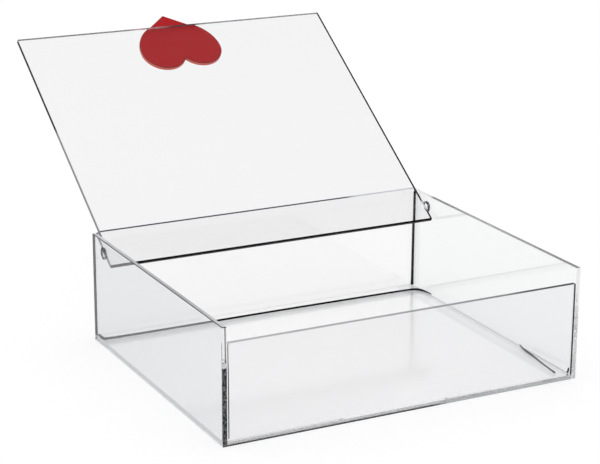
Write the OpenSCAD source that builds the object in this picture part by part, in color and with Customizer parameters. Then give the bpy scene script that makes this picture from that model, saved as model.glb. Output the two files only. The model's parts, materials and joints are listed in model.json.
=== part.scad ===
// Clear acrylic storage box with a pivoting lid and a red heart as its finger grip.
// Millimetres. X runs left to right, Y from the front wall to the back wall, Z up.
// The origin is the centre of the box's footprint, on the surface that it stands on.
// The model is drawn with the lid open, leaning back on the back wall's top edge.

/* [Box] */
// Width across the outer faces of the side walls
box_w = 250; // [160:1:400]
// Depth from the front face to the back face
box_d = 205; // [150:1:320]
// Height of the side walls and the back wall
box_h = 75; // [40:0.5:140]
// How far the front wall stops below the side walls, so that the lid drops in between them
front_drop = 10.5; // [9:0.5:25]
// Thickness of the sheet that the walls are cut from
wall_t = 3; // [2:0.5:5]
// Thickness of the bottom sheet
bottom_t = 3; // [2:0.5:6]

/* [Lid] */
// Thickness of the lid sheet
lid_t = 3; // [2:0.5:5]
// Gap between each side edge of the lid and the side wall next to it
lid_side_gap = 0.5; // [0.3:0.1:1.5]
// How far the closed lid reaches past the front face of the box
lid_lip = 15; // [0:0.5:30]
// How far the lid reaches behind its hinge axis
lid_tail = 12.5; // [8:0.5:14]
// Gap under the closed lid, over the front wall's top edge
closed_gap = 0.3; // [0.1:0.1:1]
// Gap between the opened lid and the back wall's edge that it leans on
lean_gap = 0.1; // [0.05:0.05:0.5]

/* [Hinge] */
// Diameter of each hinge pin
pin_d = 8; // [5:0.5:10]
// Gap all round a pin in its hole
pin_play = 0.075; // [0.02:0.005:0.1]
// Distance from the back wall's inner face to the hinge axis
axis_to_back = 16; // [15:0.5:20]

/* [Heart] */
// Width across the two lobes
heart_w = 63; // [50:1:68]
// Radius of each lobe's round end
lobe_r = 17; // [16.5:0.5:20]
// Distance from the line through the lobes' centres to the tip
tip_reach = 37; // [33:0.5:55]
// Radius of the full curve from each lobe to the straight side
side_r = 28; // [22:0.5:30]
// Radius of the blunted tip
tip_r = 1; // [0.5:0.1:3]
// Thickness of the heart
heart_t = 3; // [2:0.5:6]
// How far the tip reaches past the lid's front edge
tip_over = 14; // [5:0.5:20]
// Distance of the heart's centre from the middle of the lid, to the right
heart_shift = -1.7; // [-40:0.1:40]
// Turn of the heart on the lid, as it was cemented by hand
heart_turn = 2; // [-10:0.5:10]

/* [Hidden] */

clear_acrylic = [0.93, 0.94, 0.95];
edge_acrylic = [0.80, 0.82, 0.84];
red_acrylic = [0.75, 0.16, 0.20];

// Smoothness of the round shapes
pin_fn = 96;
curve_fn = 128;

// Faces of the sheets
front_h = box_h - front_drop;
inner_w = box_w - 2 * wall_t;
back_in_y = box_d / 2 - wall_t;
left_out_x = -box_w / 2;
right_in_x = box_w / 2 - wall_t;

// Hinge axis, at the middle of the lid's thickness
axis_y = back_in_y - axis_to_back;
axis_z = front_h + closed_gap + lid_t / 2;

// Lid, measured from the hinge axis
lid_w = inner_w - 2 * lid_side_gap;
lid_reach = box_d / 2 + lid_lip + axis_y;

// Angle from closed to open, where the lid's outer face comes to the back wall's
// top front edge: rise and run go from the axis to that edge
rise = box_h - axis_z;
run = axis_to_back;
lean = asin((lid_t / 2 + lean_gap) / sqrt(rise * rise + run * run));
open_angle = 180 - atan2(rise, run) - lean;

// Holes for the pins
hole_d = pin_d + 2 * pin_play;
cut_over = 1;

// Heart, drawn with its tip up and the line through its lobes' centres at y = 0:
// the lobes' centres, the side curves' centres and the round tip's centre
lobe_x = heart_w / 2 - lobe_r;
curve_x = heart_w / 2 - side_r;
tip_y = tip_reach - tip_r;

// Direction square to the straight side, which touches the side curve and the round tip
side_dir = atan2(curve_x, tip_y)
    + asin((side_r - tip_r) / sqrt(tip_y * tip_y + curve_x * curve_x));

// Distance from the hinge axis to the line through the lobes' centres
heart_y = lid_reach + tip_over - tip_reach * cos(heart_turn);

echo(open_angle = open_angle, axis_y = axis_y, axis_z = axis_z);

// Turns what is drawn closed, round the hinge axis, to where the lid stands open
module opened() {
    translate([0, axis_y, axis_z])
        rotate([-open_angle, 0, 0])
            children();
}

// Lies between the side walls, with the front and back walls standing on it
module bottom_panel() {
    color(clear_acrylic)
        translate([-inner_w / 2, -box_d / 2, 0])
            cube([inner_w, box_d, bottom_t]);
}

module front_wall() {
    color(clear_acrylic)
        translate([-inner_w / 2, -box_d / 2, bottom_t])
            cube([inner_w, wall_t, front_h - bottom_t]);
}

module back_wall() {
    color(clear_acrylic)
        translate([-inner_w / 2, back_in_y, bottom_t])
            cube([inner_w, wall_t, box_h - bottom_t]);
}

// A side wall runs the whole depth and down to the ground, and holds a pin's hole
module side_wall(low_x) {
    color(clear_acrylic)
        difference() {
            translate([low_x, -box_d / 2, 0])
                cube([wall_t, box_d, box_h]);
            translate([low_x - cut_over, axis_y, axis_z])
                rotate([0, 90, 0])
                    cylinder(h = wall_t + 2 * cut_over, d = hole_d, $fn = pin_fn);
        }
}

module left_wall() {
    side_wall(left_out_x);
}

module right_wall() {
    side_wall(right_in_x);
}

module lid_panel() {
    color(clear_acrylic)
        opened()
            translate([-lid_w / 2, -lid_reach, -lid_t / 2])
                cube([lid_w, lid_reach + lid_tail, lid_t]);
}

// A pin is cemented to the lid's side edge, and ends level with the wall's outer face
module hinge_pin(low_x) {
    color(edge_acrylic)
        translate([low_x, axis_y, axis_z])
            rotate([0, 90, 0])
                cylinder(h = wall_t + lid_side_gap, d = pin_d, $fn = pin_fn);
}

module hinge_pin_left() {
    hinge_pin(left_out_x);
}

module hinge_pin_right() {
    hinge_pin(lid_w / 2);
}

// The right half: the lobe's round end below, the side curve above it, and the
// straight side that runs on to the tip
module heart_half() {
    intersection() {
        union() {
            translate([lobe_x, 0])
                circle(r = lobe_r, $fn = curve_fn);
            intersection() {
                translate([curve_x, 0])
                    circle(r = side_r, $fn = curve_fn);
                square([heart_w, side_r]);
            }
            polygon([[0, 0],
                     [curve_x + side_r * cos(side_dir), side_r * sin(side_dir)],
                     [tip_r * cos(side_dir), tip_y + tip_r * sin(side_dir)],
                     [0, tip_y]]);
        }
        translate([0, -heart_w])
            square([heart_w, 2 * heart_w]);
    }
}

module heart_outline() {
    for (side = [0, 1])
        mirror([side, 0])
            heart_half();
    translate([0, tip_y])
        circle(r = tip_r, $fn = curve_fn);
}

// Cemented flat to the lid's outer face, with its tip over the front edge
module heart_grip() {
    color(red_acrylic)
        opened()
            translate([heart_shift, -heart_y, lid_t / 2])
                rotate([0, 0, 180 - heart_turn])
                    linear_extrude(heart_t)
                        heart_outline();
}

bottom_panel();
front_wall();
back_wall();
left_wall();
right_wall();
lid_panel();
hinge_pin_left();
hinge_pin_right();
heart_grip();
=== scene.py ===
import json
import math

import bpy
from mathutils import Matrix, Vector


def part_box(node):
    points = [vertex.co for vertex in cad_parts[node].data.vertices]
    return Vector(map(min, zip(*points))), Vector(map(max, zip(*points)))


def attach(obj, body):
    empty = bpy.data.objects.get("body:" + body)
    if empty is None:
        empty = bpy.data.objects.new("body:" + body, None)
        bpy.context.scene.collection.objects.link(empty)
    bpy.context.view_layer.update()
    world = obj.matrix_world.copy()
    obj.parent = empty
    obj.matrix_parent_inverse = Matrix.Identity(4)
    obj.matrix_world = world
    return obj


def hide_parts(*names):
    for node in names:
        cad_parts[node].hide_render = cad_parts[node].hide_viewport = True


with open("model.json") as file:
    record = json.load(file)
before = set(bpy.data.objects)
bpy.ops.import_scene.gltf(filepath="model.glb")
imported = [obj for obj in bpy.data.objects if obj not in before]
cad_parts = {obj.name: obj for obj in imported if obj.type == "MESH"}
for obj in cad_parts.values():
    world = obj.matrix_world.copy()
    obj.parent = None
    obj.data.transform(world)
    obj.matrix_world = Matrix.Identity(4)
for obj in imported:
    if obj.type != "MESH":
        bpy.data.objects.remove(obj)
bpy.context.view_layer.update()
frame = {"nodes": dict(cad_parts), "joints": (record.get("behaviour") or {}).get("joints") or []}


# Camera: stands to the left of the box, a little above it, and looks at it through a
# long lens. The numbers are where the camera stood, as fitted to the photograph.

MM = 0.001
camera_azimuth = math.radians(-27.21)
camera_elevation = math.radians(17.14)
camera_roll = math.radians(0.29)
camera_aim = Vector((-22.0, 0.0, 90.2)) * MM
camera_distance = 1238.8 * MM
photo_width_px = 600
focal_px = 1929.3
sensor_width_mm = 36.0
nearest_seen = 10 * MM
farthest_seen = 100.0

view_back = Vector((math.sin(camera_azimuth) * math.cos(camera_elevation),
                    -math.cos(camera_azimuth) * math.cos(camera_elevation),
                    math.sin(camera_elevation)))
camera_data = bpy.data.cameras.new("camera")
camera_data.sensor_fit = "HORIZONTAL"
camera_data.sensor_width = sensor_width_mm
camera_data.lens = sensor_width_mm * focal_px / photo_width_px
camera_data.clip_start = nearest_seen
camera_data.clip_end = farthest_seen
camera = bpy.data.objects.new("camera", camera_data)
bpy.context.collection.objects.link(camera)
camera.location = camera_aim + view_back * camera_distance
turn = view_back.to_track_quat("Z", "Y").to_matrix().to_4x4()
camera.rotation_euler = (turn @ Matrix.Rotation(camera_roll, 4, "Z")).to_euler()
bpy.context.scene.camera = camera


# Floor and light: a white table top under an even white sky, as in a product studio.
# What the sheets mirror is the room: dark on the camera's side, with a grey flag
# overhead, so that the clear faces and edges show.
def linear(hex_colour):
    values = [int(hex_colour[i:i + 2], 16) / 255 for i in (1, 3, 5)]
    low = 0.04045
    return [v / 12.92 if v <= low else ((v + 0.055) / 1.055) ** 2.4 for v in values] + [1.0]


def add_node(tree, kind, settings={}, inputs={}):
    node = tree.nodes.new(kind)
    for name, value in settings.items():
        setattr(node, name, value)
    for name, value in inputs.items():
        if isinstance(value, bpy.types.NodeSocket):
            tree.links.new(value, node.inputs[name])
        else:
            node.inputs[name].default_value = value
    return node


def empty_material(name):
    material = bpy.data.materials.new(name)
    material.use_nodes = True
    material.node_tree.nodes.clear()
    return material, material.node_tree


# Sockets of the node that mixes two colours
MIX_SHARE, MIX_FIRST, MIX_SECOND, MIXED = 0, 6, 7, 2

sky_white = "#FFFFFF"
room_dark = "#1C1C1C"
flag_grey = "#6A6A6A"
# How squarely a direction points to the camera's side where the dark room starts, and
# where it is fully dark, and how steeply it points up where the flag starts and is full
room_starts, room_full = 0.1, 0.5
flag_starts, flag_full = 0.45, 0.85
towards_camera = Vector((view_back.x, view_back.y, 0)).normalized()
world = bpy.data.worlds.new("studio")
world.use_nodes = True
bpy.context.scene.world = world
bpy.context.scene.view_settings.view_transform = "Standard"
sky = world.node_tree
sky.nodes.clear()
direction = add_node(sky, "ShaderNodeTexCoord").outputs["Generated"]
nearness = add_node(sky, "ShaderNodeVectorMath", {"operation": "DOT_PRODUCT"},
                    {0: direction, 1: towards_camera})
height = add_node(sky, "ShaderNodeSeparateXYZ", inputs={0: direction})
room_side = add_node(sky, "ShaderNodeMapRange", {"interpolation_type": "SMOOTHSTEP"},
                     {"Value": nearness.outputs["Value"], "From Min": room_starts,
                      "From Max": room_full})
overhead = add_node(sky, "ShaderNodeMapRange", {"interpolation_type": "SMOOTHSTEP"},
                    {"Value": height.outputs["Z"], "From Min": flag_starts,
                     "From Max": flag_full})
flagged = add_node(sky, "ShaderNodeMix", {"data_type": "RGBA"},
                   {MIX_SHARE: overhead.outputs[0], MIX_FIRST: linear(sky_white),
                    MIX_SECOND: linear(flag_grey)})
room = add_node(sky, "ShaderNodeMix", {"data_type": "RGBA"},
                {MIX_SHARE: room_side.outputs[0], MIX_FIRST: flagged.outputs[MIXED],
                 MIX_SECOND: linear(room_dark)})
ray = add_node(sky, "ShaderNodeLightPath")
mirrored = add_node(sky, "ShaderNodeMath", {"operation": "MAXIMUM"},
                    {0: ray.outputs["Is Glossy Ray"], 1: ray.outputs["Is Transmission Ray"]})
seen_room = add_node(sky, "ShaderNodeMath", {"operation": "MAXIMUM"},
                     {0: mirrored.outputs[0], 1: ray.outputs["Is Camera Ray"]})
sky_colour = add_node(sky, "ShaderNodeMix", {"data_type": "RGBA"},
                      {MIX_SHARE: seen_room.outputs[0], MIX_FIRST: linear(sky_white),
                       MIX_SECOND: room.outputs[MIXED]})
sky_light = add_node(sky, "ShaderNodeBackground",
                     inputs={"Color": sky_colour.outputs[MIXED], "Strength": 1.0})
add_node(sky, "ShaderNodeOutputWorld", inputs={"Surface": sky_light.outputs[0]})

light_bounces = 32
cycles = bpy.context.scene.cycles
cycles.max_bounces = light_bounces
cycles.transmission_bounces = light_bounces
cycles.glossy_bounces = light_bounces
cycles.transparent_max_bounces = light_bounces

# The floor lies a hair below the box, so that a film of air is left under the bottom
floor_white = "#C0C0C0"
floor_glow = 0.49
floor_roughness = 0.9
floor_size = 12.0
air_film = 0.1 * MM
bpy.ops.mesh.primitive_plane_add(size=floor_size, location=(0, 0, -air_film))
floor = bpy.context.object
floor.name = "floor"
table_top, tree = empty_material("white_table_top")
seen = add_node(tree, "ShaderNodeLightPath")
seen_plainly = add_node(tree, "ShaderNodeMath", {"operation": "MAXIMUM"},
                        {0: seen.outputs["Is Camera Ray"],
                         1: seen.outputs["Is Transmission Ray"]})
glow = add_node(tree, "ShaderNodeMath", {"operation": "MULTIPLY"},
                {0: seen_plainly.outputs[0], 1: floor_glow})
paint = add_node(tree, "ShaderNodeBsdfPrincipled",
                 inputs={"Base Color": linear(floor_white), "Roughness": floor_roughness,
                         "Specular IOR Level": 0.0, "Emission Color": linear(sky_white),
                         "Emission Strength": glow.outputs[0]})
add_node(tree, "ShaderNodeOutputMaterial", inputs={"Surface": paint.outputs[0]})
floor.data.materials.append(table_top)


# Bottom: a flat sheet of cast acrylic between the side walls, with the front and back
# walls standing on it. It is scuffed all over. Its tint is greyer in a band near the back,
# and towards the right wall in painted shade for the refracted right wall's bottom edge.

acrylic_ior = 1.49
# The box's inner faces in mm
left_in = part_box("left_wall")[1][0] / MM
right_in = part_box("right_wall")[0][0] / MM
front_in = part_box("front_wall")[1][1] / MM
back_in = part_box("back_wall")[0][1] / MM
bottom_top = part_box("bottom_panel")[1][2] / MM
# A face is square to an axis when its unit normal has at least this much along it
SQUARE_ON = 0.999


def cast_acrylic(name, tint, roughness=0.0, clearness=1.0, shine=0.5):
    # Shadow rays and soft light go straight through, so that the box's shadow stays light
    material, tree = empty_material(name)
    clear = add_node(tree, "ShaderNodeBsdfPrincipled",
                     inputs={"Base Color": linear(tint), "Roughness": roughness,
                             "IOR": acrylic_ior, "Transmission Weight": clearness,
                             "Specular IOR Level": shine})
    ray = add_node(tree, "ShaderNodeLightPath")
    straight = add_node(tree, "ShaderNodeMath", {"operation": "MAXIMUM"},
                        {0: ray.outputs["Is Shadow Ray"], 1: ray.outputs["Is Diffuse Ray"]})
    passed = add_node(tree, "ShaderNodeBsdfTransparent", inputs={"Color": linear(tint)})
    mixed = add_node(tree, "ShaderNodeMixShader",
                     inputs={0: straight.outputs[0], 1: clear.outputs[0],
                             2: passed.outputs[0]})
    add_node(tree, "ShaderNodeOutputMaterial", inputs={"Surface": mixed.outputs[0]})
    return material


# Colour that changes along one axis, given as places in mm with a colour for each
def colours_along(tree, axis, places):
    start, end = min(places), max(places)
    place = add_node(tree, "ShaderNodeTexCoord").outputs["Object"]
    parts = add_node(tree, "ShaderNodeSeparateXYZ", inputs={0: place})
    share = add_node(tree, "ShaderNodeMapRange",
                     inputs={"Value": parts.outputs[axis], "From Min": start * MM,
                             "From Max": end * MM})
    ramp = add_node(tree, "ShaderNodeValToRGB", inputs={0: share.outputs[0]})
    stops = ramp.color_ramp.elements
    stops[0].color = linear(places[start])
    stops[1].color = linear(places[end])
    for position in sorted(places)[1:-1]:
        stops.new((position - start) / (end - start)).color = linear(places[position])
    return ramp.outputs["Color"]


# Small dark and light patches in the pattern of chips that a saw leaves. Real chips are a
# tenth of a millimetre across, and these are drawn as coarse as they need to show.
def chips(tree, chip_size, dark, light):
    dark_below, light_above = 0.44, 0.58
    place = add_node(tree, "ShaderNodeTexCoord").outputs["Object"]
    noise = add_node(tree, "ShaderNodeTexNoise",
                     inputs={"Vector": place, "Scale": 1 / chip_size, "Detail": 3.0})
    share = add_node(tree, "ShaderNodeMapRange",
                     inputs={"Value": noise.outputs["Fac"], "From Min": dark_below,
                             "From Max": light_above})
    mixed = add_node(tree, "ShaderNodeMix", {"data_type": "RGBA"},
                     {MIX_SHARE: share.outputs[0], MIX_FIRST: linear(dark),
                      MIX_SECOND: linear(light)})
    return mixed.outputs[MIXED]


# Edge painted below a height in mm, in patches of a given dark and light colour, and polished
# clear above it
def edge_painted_below(name, height, dark, light, clearness_below):
    polish_tint = "#F2F3F4"
    fade = 0.5
    chip_size = 1 * MM
    material = cast_acrylic(name, polish_tint, 0.05)
    tree = material.node_tree
    clear = tree.nodes["Principled BSDF"]
    polish = colours_along(tree, "Z", {height - fade: "#000000",
                                       height + fade: "#FFFFFF"})
    colour = add_node(tree, "ShaderNodeMix", {"data_type": "RGBA"},
                      {MIX_SHARE: polish, MIX_FIRST: chips(tree, chip_size, dark, light),
                       MIX_SECOND: linear(polish_tint)})
    tree.links.new(colour.outputs[MIXED], clear.inputs["Base Color"])
    clearness = add_node(tree, "ShaderNodeMapRange",
                         inputs={"Value": polish, "To Min": clearness_below, "To Max": 1.0})
    tree.links.new(clearness.outputs[0], clear.inputs["Transmission Weight"])
    return material


def side_of(normal):
    axis = max(range(3), key=lambda i: abs(normal[i]))
    return "-+"[normal[axis] > 0] + "XYZ"[axis]


# Takes the sharpness off the edges round the faces whose normal passes a test
def break_edges(piece, test, width):
    sharp = {key for face in piece.data.polygons if test(face.normal)
             for key in face.edge_keys}
    bpy.ops.object.mode_set(mode="EDIT")
    bpy.context.tool_settings.mesh_select_mode = (False, True, False)
    bpy.ops.mesh.select_all(action="DESELECT")
    bpy.ops.object.mode_set(mode="OBJECT")
    for edge in piece.data.edges:
        edge.select = edge.key in sharp
    bpy.ops.object.mode_set(mode="EDIT")
    bpy.ops.mesh.bevel(offset=width, segments=1, affect="EDGES")
    bpy.ops.object.mode_set(mode="OBJECT")


# Cuts one sheet. Its thin axis has the glossy faces, and each side edge its own surface.
# The edges named in free have their sharpness taken off.
def cut_sheet(name, low, high, thin, face_surface, edges, free=(), broken=None, width=0.0):
    bpy.ops.object.select_all(action="DESELECT")
    low, high = Vector(low), Vector(high)
    bpy.ops.mesh.primitive_cube_add(size=1, location=(low + high) / 2, scale=high - low)
    piece = bpy.context.object
    piece.name = name
    piece.data.name = name
    bpy.ops.object.transform_apply(location=True, rotation=True, scale=True)
    surfaces = [face_surface, *dict.fromkeys(edges.values())]
    if free:
        break_edges(piece, lambda normal: side_of(normal) in free, width)
        surfaces.append(broken)
    for surface in surfaces:
        piece.data.materials.append(surface)
    for face in piece.data.polygons:
        side = side_of(face.normal)
        if max(abs(c) for c in face.normal) < SQUARE_ON:
            face.material_index = len(surfaces) - 1
        elif side[1] == thin:
            face.material_index = 0
        else:
            face.material_index = surfaces.index(edges[side])
    return piece


def shown_for(piece, node, body):
    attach(piece, body)
    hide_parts(node)


# The cement's own thickness, left between the sheets
glue_line = 0.03 * MM

# Cast acrylic sheet, scuffed: still clear, but what it mirrors is blurred
bottom_face = cast_acrylic("scuffed_acrylic_face", "#FFFFFF", 0.12)
tree = bottom_face.node_tree
# Greyer bands in the tint: one near the back, and one towards the right wall that is painted
# shade for the refracted bottom edge of the right wall
grey_bands = add_node(tree, "ShaderNodeMix", {"data_type": "RGBA", "blend_type": "MULTIPLY"},
                {MIX_SHARE: 1.0,
                 MIX_FIRST: colours_along(tree, "X", {108: "#FFFFFF", 110: "#F0F1F2",
                                                      116: "#F4F5F6",
                                                      right_in: "#DCDDDF"}),
                 MIX_SECOND: colours_along(tree, "Y", {79: "#FFFFFF", 82: "#E6E7E8",
                                                       90: "#E6E7E8", 91: "#FFFFFF"})})
tree.links.new(grey_bands.outputs[MIXED], tree.nodes["Principled BSDF"].inputs["Base Color"])
# Sawn and wetted by the cement: matt and pale
pale_edge = cast_acrylic("wetted_acrylic_edge", "#FFFFFF", 0.5, 0.1)
# Its front edge is painted at the foot with a contact shadow: dark on the left, which draws
# the line along the ground, and paler to the right, as in the photograph
bottom_front_edge_painted_shadow = edge_painted_below("bottom_front_edge_painted_shadow", 1.3, "#2C2D2F", "#5A5C5E", 0.1)
tree = bottom_front_edge_painted_shadow.node_tree
shadow_colour = tree.nodes["Principled BSDF"].inputs["Base Color"]
paler = add_node(tree, "ShaderNodeMix", {"data_type": "RGBA"},
                 {MIX_SHARE: colours_along(tree, "X", {20: "#000000", 30: "#FFFFFF"}),
                  MIX_FIRST: shadow_colour.links[0].from_socket,
                  MIX_SECOND: linear("#C8CACC")})
tree.links.new(paler.outputs[MIXED], shadow_colour)

low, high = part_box("bottom_panel")
bottom = cut_sheet("bottom_sheet", (low[0] + glue_line, low[1], low[2]),
                   (high[0] - glue_line, high[1], high[2]), "Z", bottom_face,
                   {"-X": pale_edge, "+X": pale_edge, "-Y": bottom_front_edge_painted_shadow,
                    "+Y": pale_edge})
shown_for(bottom, "bottom_panel", "box")


# Front wall: a sheet of clear cast acrylic, lower than the side walls so that the lid
# drops in between them. It stands on the bottom and is cemented between the side walls.
def sawn_edge_painted_greys(name, axis, places, clearness=0.3):
    # Matt, in painted greys of shade and light that follow the lines of the photograph
    material = cast_acrylic(name, "#808284", 0.5, clearness, 0.25)
    tree = material.node_tree
    tree.links.new(colours_along(tree, axis, places),
                   tree.nodes["Principled BSDF"].inputs["Base Color"])
    return material


# Cast acrylic face: as smooth as the glass that it was cast on, and faintly grey
front_face = cast_acrylic("front_acrylic_face", "#F8F8F9")
# Machined end: clear but streaked, so it looks grey
machined_edge = cast_acrylic("machined_acrylic_edge", "#6C6E70", 0.08)
# Polished edge: nearly as clear as a face
polished_edge = cast_acrylic("polished_acrylic_edge", "#F0F1F2")
# End with a dry joint: no light gets across, so the joint draws a black line
dry_joint = cast_acrylic("dry_joint_acrylic_edge", "#020203", 0.5, 0.0, 0.1)
# Its top edge is painted in greys of shade, darkening to the right
front_top = sawn_edge_painted_greys("front_top_edge", "X", {left_in: "#C4C6C8", -20: "#B4B6B8",
                                              70: "#8A8C8E", 85: "#4A4C4E",
                                              right_in: "#3A3C3E"})

low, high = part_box("front_wall")
front = cut_sheet("front_sheet", (low[0] + glue_line, low[1], low[2] + glue_line),
                  (high[0] - glue_line, high[1], high[2]), "Y", front_face,
                  {"-X": machined_edge, "+X": dry_joint, "-Z": polished_edge,
                   "+Z": front_top})
shown_for(front, "front_wall", "box")


# Back wall: a sheet of clear cast acrylic, as high as the side walls. It stands on the
# bottom between them, and the open lid leans on its top edge.

# The same cast face, with a paler tint than the front wall's; the tints differ between sheets
# only as painted shade
back_face = cast_acrylic("back_acrylic_face", "#FAFAFA")
# Its sawn top edge is painted black as shade, with a pale stretch at the right
back_top = sawn_edge_painted_greys("back_top_edge", "X", {left_in: "#060607", 66: "#0C0C0E",
                                            74: "#D0D2D4", right_in: "#E0E2E4"}, 0.1)

low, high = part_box("back_wall")
back = cut_sheet("back_sheet", (low[0] + glue_line, low[1], low[2] + glue_line),
                 (high[0] - glue_line, high[1], high[2]), "Y", back_face,
                 {"-X": dry_joint, "+X": dry_joint, "-Z": pale_edge, "+Z": back_top})
shown_for(back, "back_wall", "box")


# Side walls: sheets of clear cast acrylic over the whole depth and height, each drilled
# through for a hinge pin near its back top corner. The hole is left as it was drilled.

hinge = next(j for j in frame["joints"] if j["name"] == "lid_hinge")
hinge_at = Vector(hinge["pos_m"])
pin_low, pin_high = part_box("hinge_pin_left")
pin_radius = (pin_high[2] - pin_low[2]) / 2
pin_play = 0.075 * MM
hole_radius = pin_radius + pin_play
round_steps = 96
cutter_length = 20 * MM
# Drilled or rough-sawn acrylic: dull, and painted dark as shade
dull_edge = cast_acrylic("rough_acrylic_edge", "#1C1E20", 0.4, 0.3)


def drill(piece, centre):
    bpy.ops.object.select_all(action="DESELECT")
    bpy.ops.mesh.primitive_cylinder_add(vertices=round_steps, radius=hole_radius,
                                        depth=cutter_length, location=centre,
                                        rotation=(0, math.pi / 2, 0))
    cutter = bpy.context.object
    cutter.data.materials.append(dull_edge)
    bpy.context.view_layer.objects.active = piece
    hole = piece.modifiers.new("pin_hole", "BOOLEAN")
    hole.object = cutter
    hole.operation = "DIFFERENCE"
    hole.material_mode = "TRANSFER"
    bpy.ops.object.modifier_apply(modifier=hole.name)
    bpy.data.objects.remove(cutter)


# The same cast faces, with a little more painted shade in their tint
left_face = cast_acrylic("left_acrylic_face", "#F6F7F8")
right_face = cast_acrylic("right_acrylic_face", "#F7F8F8")
# Front ends, clear above. Below, the left one is painted dark as shade, and the right one is
# pale
left_end = edge_painted_below("left_front_end", 49.5, "#0C0C0E", "#76787A", 0.0)
right_end = edge_painted_below("right_front_end", 43, "#A8AAAC", "#FFFFFF", 0.8)
# Sawn top edges: matt, in painted greys of shade, the right one nearly white where it reaches
# the back
left_top = sawn_edge_painted_greys("left_top_edge", "Y", {-102: "#D0D2D4", -40: "#A8AAAC",
                                            40: "#C4C6C8", 102: "#E0E2E4"})
right_top = sawn_edge_painted_greys("right_top_edge", "Y", {-102: "#7A7C7E", 20: "#A8AAAC",
                                              60: "#7A7C7E", 76: "#9A9C9E",
                                              79: "#F0F1F2", 102: "#FCFCFC"})
# The left wall's top corners are bevelled and painted near black as shade, which draws two dark
# lines along its top
shaded_corner = cast_acrylic("acrylic_corner_painted_shade", "#141416", 0.3, 0.1)
shaded_corner_width = 0.4 * MM

for side, face_surface, front_end, top, free in (
        ("left", left_face, left_end, left_top, ("+Y", "+Z")),
        ("right", right_face, right_end, right_top, ())):
    low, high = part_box(f"{side}_wall")
    wall = cut_sheet(f"{side}_sheet", low, high, "X", face_surface,
                     {"-Y": front_end, "+Y": polished_edge, "-Z": pale_edge,
                      "+Z": top}, free, shaded_corner, shaded_corner_width)
    drill(wall, ((low[0] + high[0]) / 2, hinge_at[1], hinge_at[2]))
    shown_for(wall, f"{side}_wall", "box")


# Lid: a loose sheet of the same acrylic. It is made lying closed, where its edges are
# square to the box, and then turned open round the hinge to where it leans. Its right
# edge is clear where the pin is cemented to it.

# Cast face, with the least painted shade in its tint of all the sheets
lid_face = cast_acrylic("lid_acrylic_face", "#FCFCFD")
# Sawn front edge: painted dark grey as shade, and painted pink where the heart's red is seen
# reflected in it
lid_front = sawn_edge_painted_greys("lid_front_edge", "X", {left_in: "#5A5C5E", -36: "#3A3C3E",
                                              -29: "#F4D8DA", -12: "#F4D8DA",
                                              0: "#3A3C3E", 24: "#3A3C3E",
                                              34: "#8A8C8E", right_in: "#6C6E70"}, 0.4)
# Sawn left edge: painted grey near the box, then black, as shade. The heights are the open
# lid's.
lid_left = sawn_edge_painted_greys("lid_left_edge", "Z", {60: "#9A9C9E", 126: "#9A9C9E",
                                            129: "#020203", 174: "#020203",
                                            180: "#3A3C3E"}, 0.0)
# Sawn right edge: painted black as shade, but clear at the pin
lid_right = sawn_edge_painted_greys("lid_right_edge", "Z", {55: "#020203", 63.8: "#020203",
                                              64.2: "#F4F5F6", 68.4: "#F4F5F6",
                                              68.8: "#020203", 190: "#060607"}, 0.0)
broken_width = 0.9 * MM

open_turn = (Matrix.Translation(hinge_at)
             @ Matrix.Rotation(-math.radians(hinge["range_deg"][1]), 4, "X")
             @ Matrix.Translation(-hinge_at))
closed_points = [open_turn.inverted() @ v.co
                 for v in frame["nodes"]["lid_panel"].data.vertices]
low = [min(p[i] for p in closed_points) for i in range(3)]
high = [max(p[i] for p in closed_points) for i in range(3)]
lid = cut_sheet("lid_sheet", low, high, "Z", lid_face,
                {"-X": lid_left, "+X": lid_right, "-Y": lid_front, "+Y": dull_edge},
                ("+X", "+Y"), lid_right, broken_width)
lid.data.transform(open_turn)
lid.data.update()
shown_for(lid, "lid_panel", "lid")


# Hinge pins: short lengths of clear acrylic rod, sawn off with chipped rims and cemented
# to the lid's side edges. They turn in the side walls' holes, level with the outer faces.

# Cast rod: its ends look clear, and its chipped rim broken into dark and light
pin_end = cast_acrylic("acrylic_rod_end", "#FCFCFD")
pin_rim = cast_acrylic("chipped_acrylic_rod", "#808284", 0.4, 0.0, 0.2)
rim_width = 0.8 * MM
rim_chip_size = 3 * MM
tree = pin_rim.node_tree
tree.links.new(chips(tree, rim_chip_size, "#020203", "#E0E2E4"),
               tree.nodes["Principled BSDF"].inputs["Base Color"])

for side in ("left", "right"):
    low, high = (Vector(c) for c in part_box(f"hinge_pin_{side}"))
    bpy.ops.object.select_all(action="DESELECT")
    bpy.ops.mesh.primitive_cylinder_add(vertices=round_steps, radius=pin_radius,
                                        depth=high[0] - low[0] - glue_line,
                                        location=(low + high) / 2,
                                        rotation=(0, math.pi / 2, 0))
    pin = bpy.context.object
    pin.name = f"hinge_pin_rod_{side}"
    bpy.ops.object.transform_apply(location=True, rotation=True, scale=True)
    break_edges(pin, lambda normal: abs(normal[0]) > SQUARE_ON, rim_width)
    pin.data.materials.append(pin_end)
    pin.data.materials.append(pin_rim)
    for face in pin.data.polygons:
        face.material_index = 0 if abs(face.normal[0]) > SQUARE_ON else 1
    shown_for(pin, f"hinge_pin_{side}", "lid")


# Heart: sawn from 3 mm red acrylic that hardly lets light through, softly glossy on its
# face and paler on its sawn edge. It is cemented flat to the lid's outer face.
def red_acrylic(name, colour, roughness):
    material, tree = empty_material(name)
    dye = add_node(tree, "ShaderNodeBsdfPrincipled",
                   inputs={"Base Color": linear(colour), "Roughness": roughness,
                           "IOR": acrylic_ior})
    add_node(tree, "ShaderNodeOutputMaterial", inputs={"Surface": dye.outputs[0]})
    return material


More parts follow.
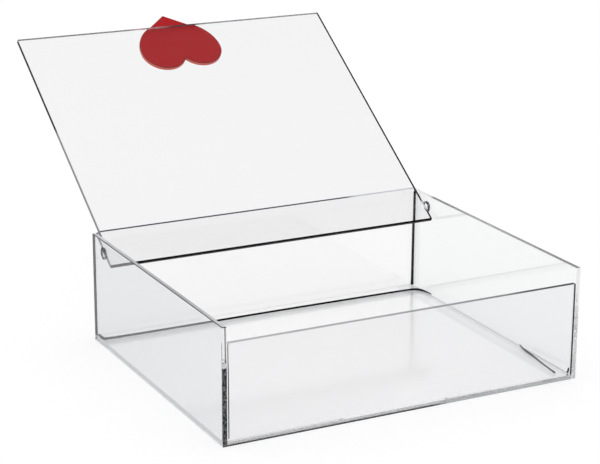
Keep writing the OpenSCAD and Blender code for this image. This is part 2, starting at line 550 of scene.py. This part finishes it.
# Cast face, sawn side and the corner between them: deep red, pale red and dark red
red_face = red_acrylic("red_acrylic_face", "#B80410", 0.3)
red_edge = red_acrylic("red_acrylic_sawn_edge", "#F07060", 0.4)
red_corner = red_acrylic("red_acrylic_corner", "#64080E", 0.4)
outward = open_turn.to_3x3() @ Vector((0, 0, 1))
corner_width = 0.35 * MM
merge_distance = 0.001 * MM
face_from, edge_below = 0.99, 0.1

heart = frame["nodes"]["heart_grip"].copy()
heart.data = heart.data.copy()
heart.parent = None
heart.matrix_world = Matrix.Identity(4)
heart.name = "heart_sheet"
bpy.context.collection.objects.link(heart)
bpy.ops.object.select_all(action="DESELECT")
heart.select_set(True)
bpy.context.view_layer.objects.active = heart
bpy.ops.object.mode_set(mode="EDIT")
bpy.ops.mesh.select_all(action="SELECT")
bpy.ops.mesh.remove_doubles(threshold=merge_distance)
bpy.ops.mesh.dissolve_limited(angle_limit=math.radians(0.5))
bpy.ops.mesh.customdata_custom_splitnormals_clear()
bpy.ops.object.mode_set(mode="OBJECT")
break_edges(heart, lambda normal: abs(normal.dot(outward)) > face_from, corner_width)
heart.data.materials.clear()
for surface in (red_face, red_edge, red_corner):
    heart.data.materials.append(surface)
for face in heart.data.polygons:
    upright = abs(face.normal.dot(outward))
    face.material_index = 0 if upright > face_from else 1 if upright < edge_below else 2
bpy.ops.object.shade_smooth_by_angle(angle=math.radians(30))
heart.data.transform(Matrix.Translation(outward * glue_line))
shown_for(heart, "heart_grip", "lid")


# Cement: it has crept out of the joints between the sheets and dried to thin glassy runs.
# Real runs look black because they bend the light away, and these are made dark for it.

dried_cement = cast_acrylic("dried_cement", "#0C0C0E", 0.1, 0.15)


# A run goes through points given as x, y and z in mm and a share of its full radius.
# Near a wall, a place is reckoned from the wall's inner face.
def cement_run(name, full_radius, points):
    bpy.ops.object.select_all(action="DESELECT")
    bpy.ops.curve.primitive_nurbs_path_add(location=(0, 0, 0))
    run = bpy.context.object
    run.name = name
    run.data.bevel_depth = full_radius
    run.data.bevel_resolution = 3
    run.data.use_fill_caps = True
    run.data.splines.clear()
    line = run.data.splines.new("NURBS")
    line.points.add(len(points) - 1)
    line.use_endpoint_u = True
    line.order_u = 3
    for point, (x, y, z, share) in zip(line.points, points):
        point.co = (x * MM, y * MM, z * MM, 1)
        point.radius = share
    bpy.ops.object.convert(target="MESH")
    bpy.ops.object.mode_set(mode="EDIT")
    bpy.ops.mesh.select_all(action="SELECT")
    bpy.ops.mesh.remove_doubles(threshold=merge_distance)
    bpy.ops.mesh.normals_make_consistent(inside=False)
    bpy.ops.object.mode_set(mode="OBJECT")
    run.data.materials.clear()
    run.data.materials.append(dried_cement)
    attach(run, "box")


cement_run("back_run", 0.85 * MM,
           ((left_in + 0.7, back_in - 9, bottom_top + 0.8, 1.2),
            (left_in + 4, back_in - 9.7, bottom_top + 0.7, 1),
            (-60, back_in - 9.7, bottom_top + 0.7, 0.9),
            (0, back_in - 9.5, bottom_top + 0.7, 0.9),
            (60, back_in - 10.3, bottom_top + 0.7, 0.9),
            (right_in - 10, back_in - 10.9, bottom_top + 0.7, 0.8),
            (right_in - 4, back_in - 12.5, bottom_top + 0.7, 1),
            (right_in - 1, back_in - 17.5, bottom_top + 0.8, 1),
            (right_in - 0.6, back_in - 27.5, bottom_top + 1, 0.4)))
cement_run("right_run", 0.7 * MM,
           ((right_in - 0.8, front_in + 57, bottom_top + 0.8, 0.6),
            (right_in - 2, front_in + 52.5, bottom_top + 0.7, 0.6),
            (right_in - 3.1, front_in + 47.5, bottom_top + 0.6, 1.2),
            (right_in - 4, front_in + 37.5, bottom_top + 0.6, 1),
            (right_in - 6, front_in + 24, bottom_top + 0.5, 0.7),
            (right_in - 7.5, front_in + 12.5, bottom_top + 0.5, 0.7),
            (right_in - 8.3, front_in + 5.1, bottom_top + 0.5, 0.9)))
cement_run("back_right_run", 1 * MM,
           ((right_in - 1, back_in - 1, bottom_top + 0.6, 1.2),
            (right_in - 1, back_in - 1, bottom_top + 3, 1),
            (right_in - 1, back_in - 1, bottom_top + 37, 1),
            (right_in - 1, back_in - 1, bottom_top + 69.8, 0.9)))
cement_run("back_left_run", 0.9 * MM,
           ((left_in + 0.9, back_in - 1.1, bottom_top + 0.8, 1.2),
            (left_in + 0.7, back_in - 3.5, bottom_top + 1, 0.7),
            (left_in + 0.9, back_in - 6.5, bottom_top + 0.8, 1.3),
            (left_in + 0.7, back_in - 9, bottom_top + 1, 1)))
cement_run("front_left_run", 0.35 * MM,
           ((left_in + 2, front_in + 0.3, bottom_top + 1, 1),
            (left_in + 2, front_in + 0.3, bottom_top + 42, 1),
            (left_in + 1.7, front_in + 0.3, bottom_top + 49, 0.8),
            (left_in + 1.7, front_in + 0.3, bottom_top + 60.5, 0.8)))
cement_run("front_right_run", 0.7 * MM,
           ((right_in - 0.7, front_in + 0.8, bottom_top + 4, 0.6),
            (right_in - 0.8, front_in + 0.9, bottom_top + 1.4, 1.1),
            (right_in - 1.6, front_in + 0.9, bottom_top + 0.7, 0.8)))
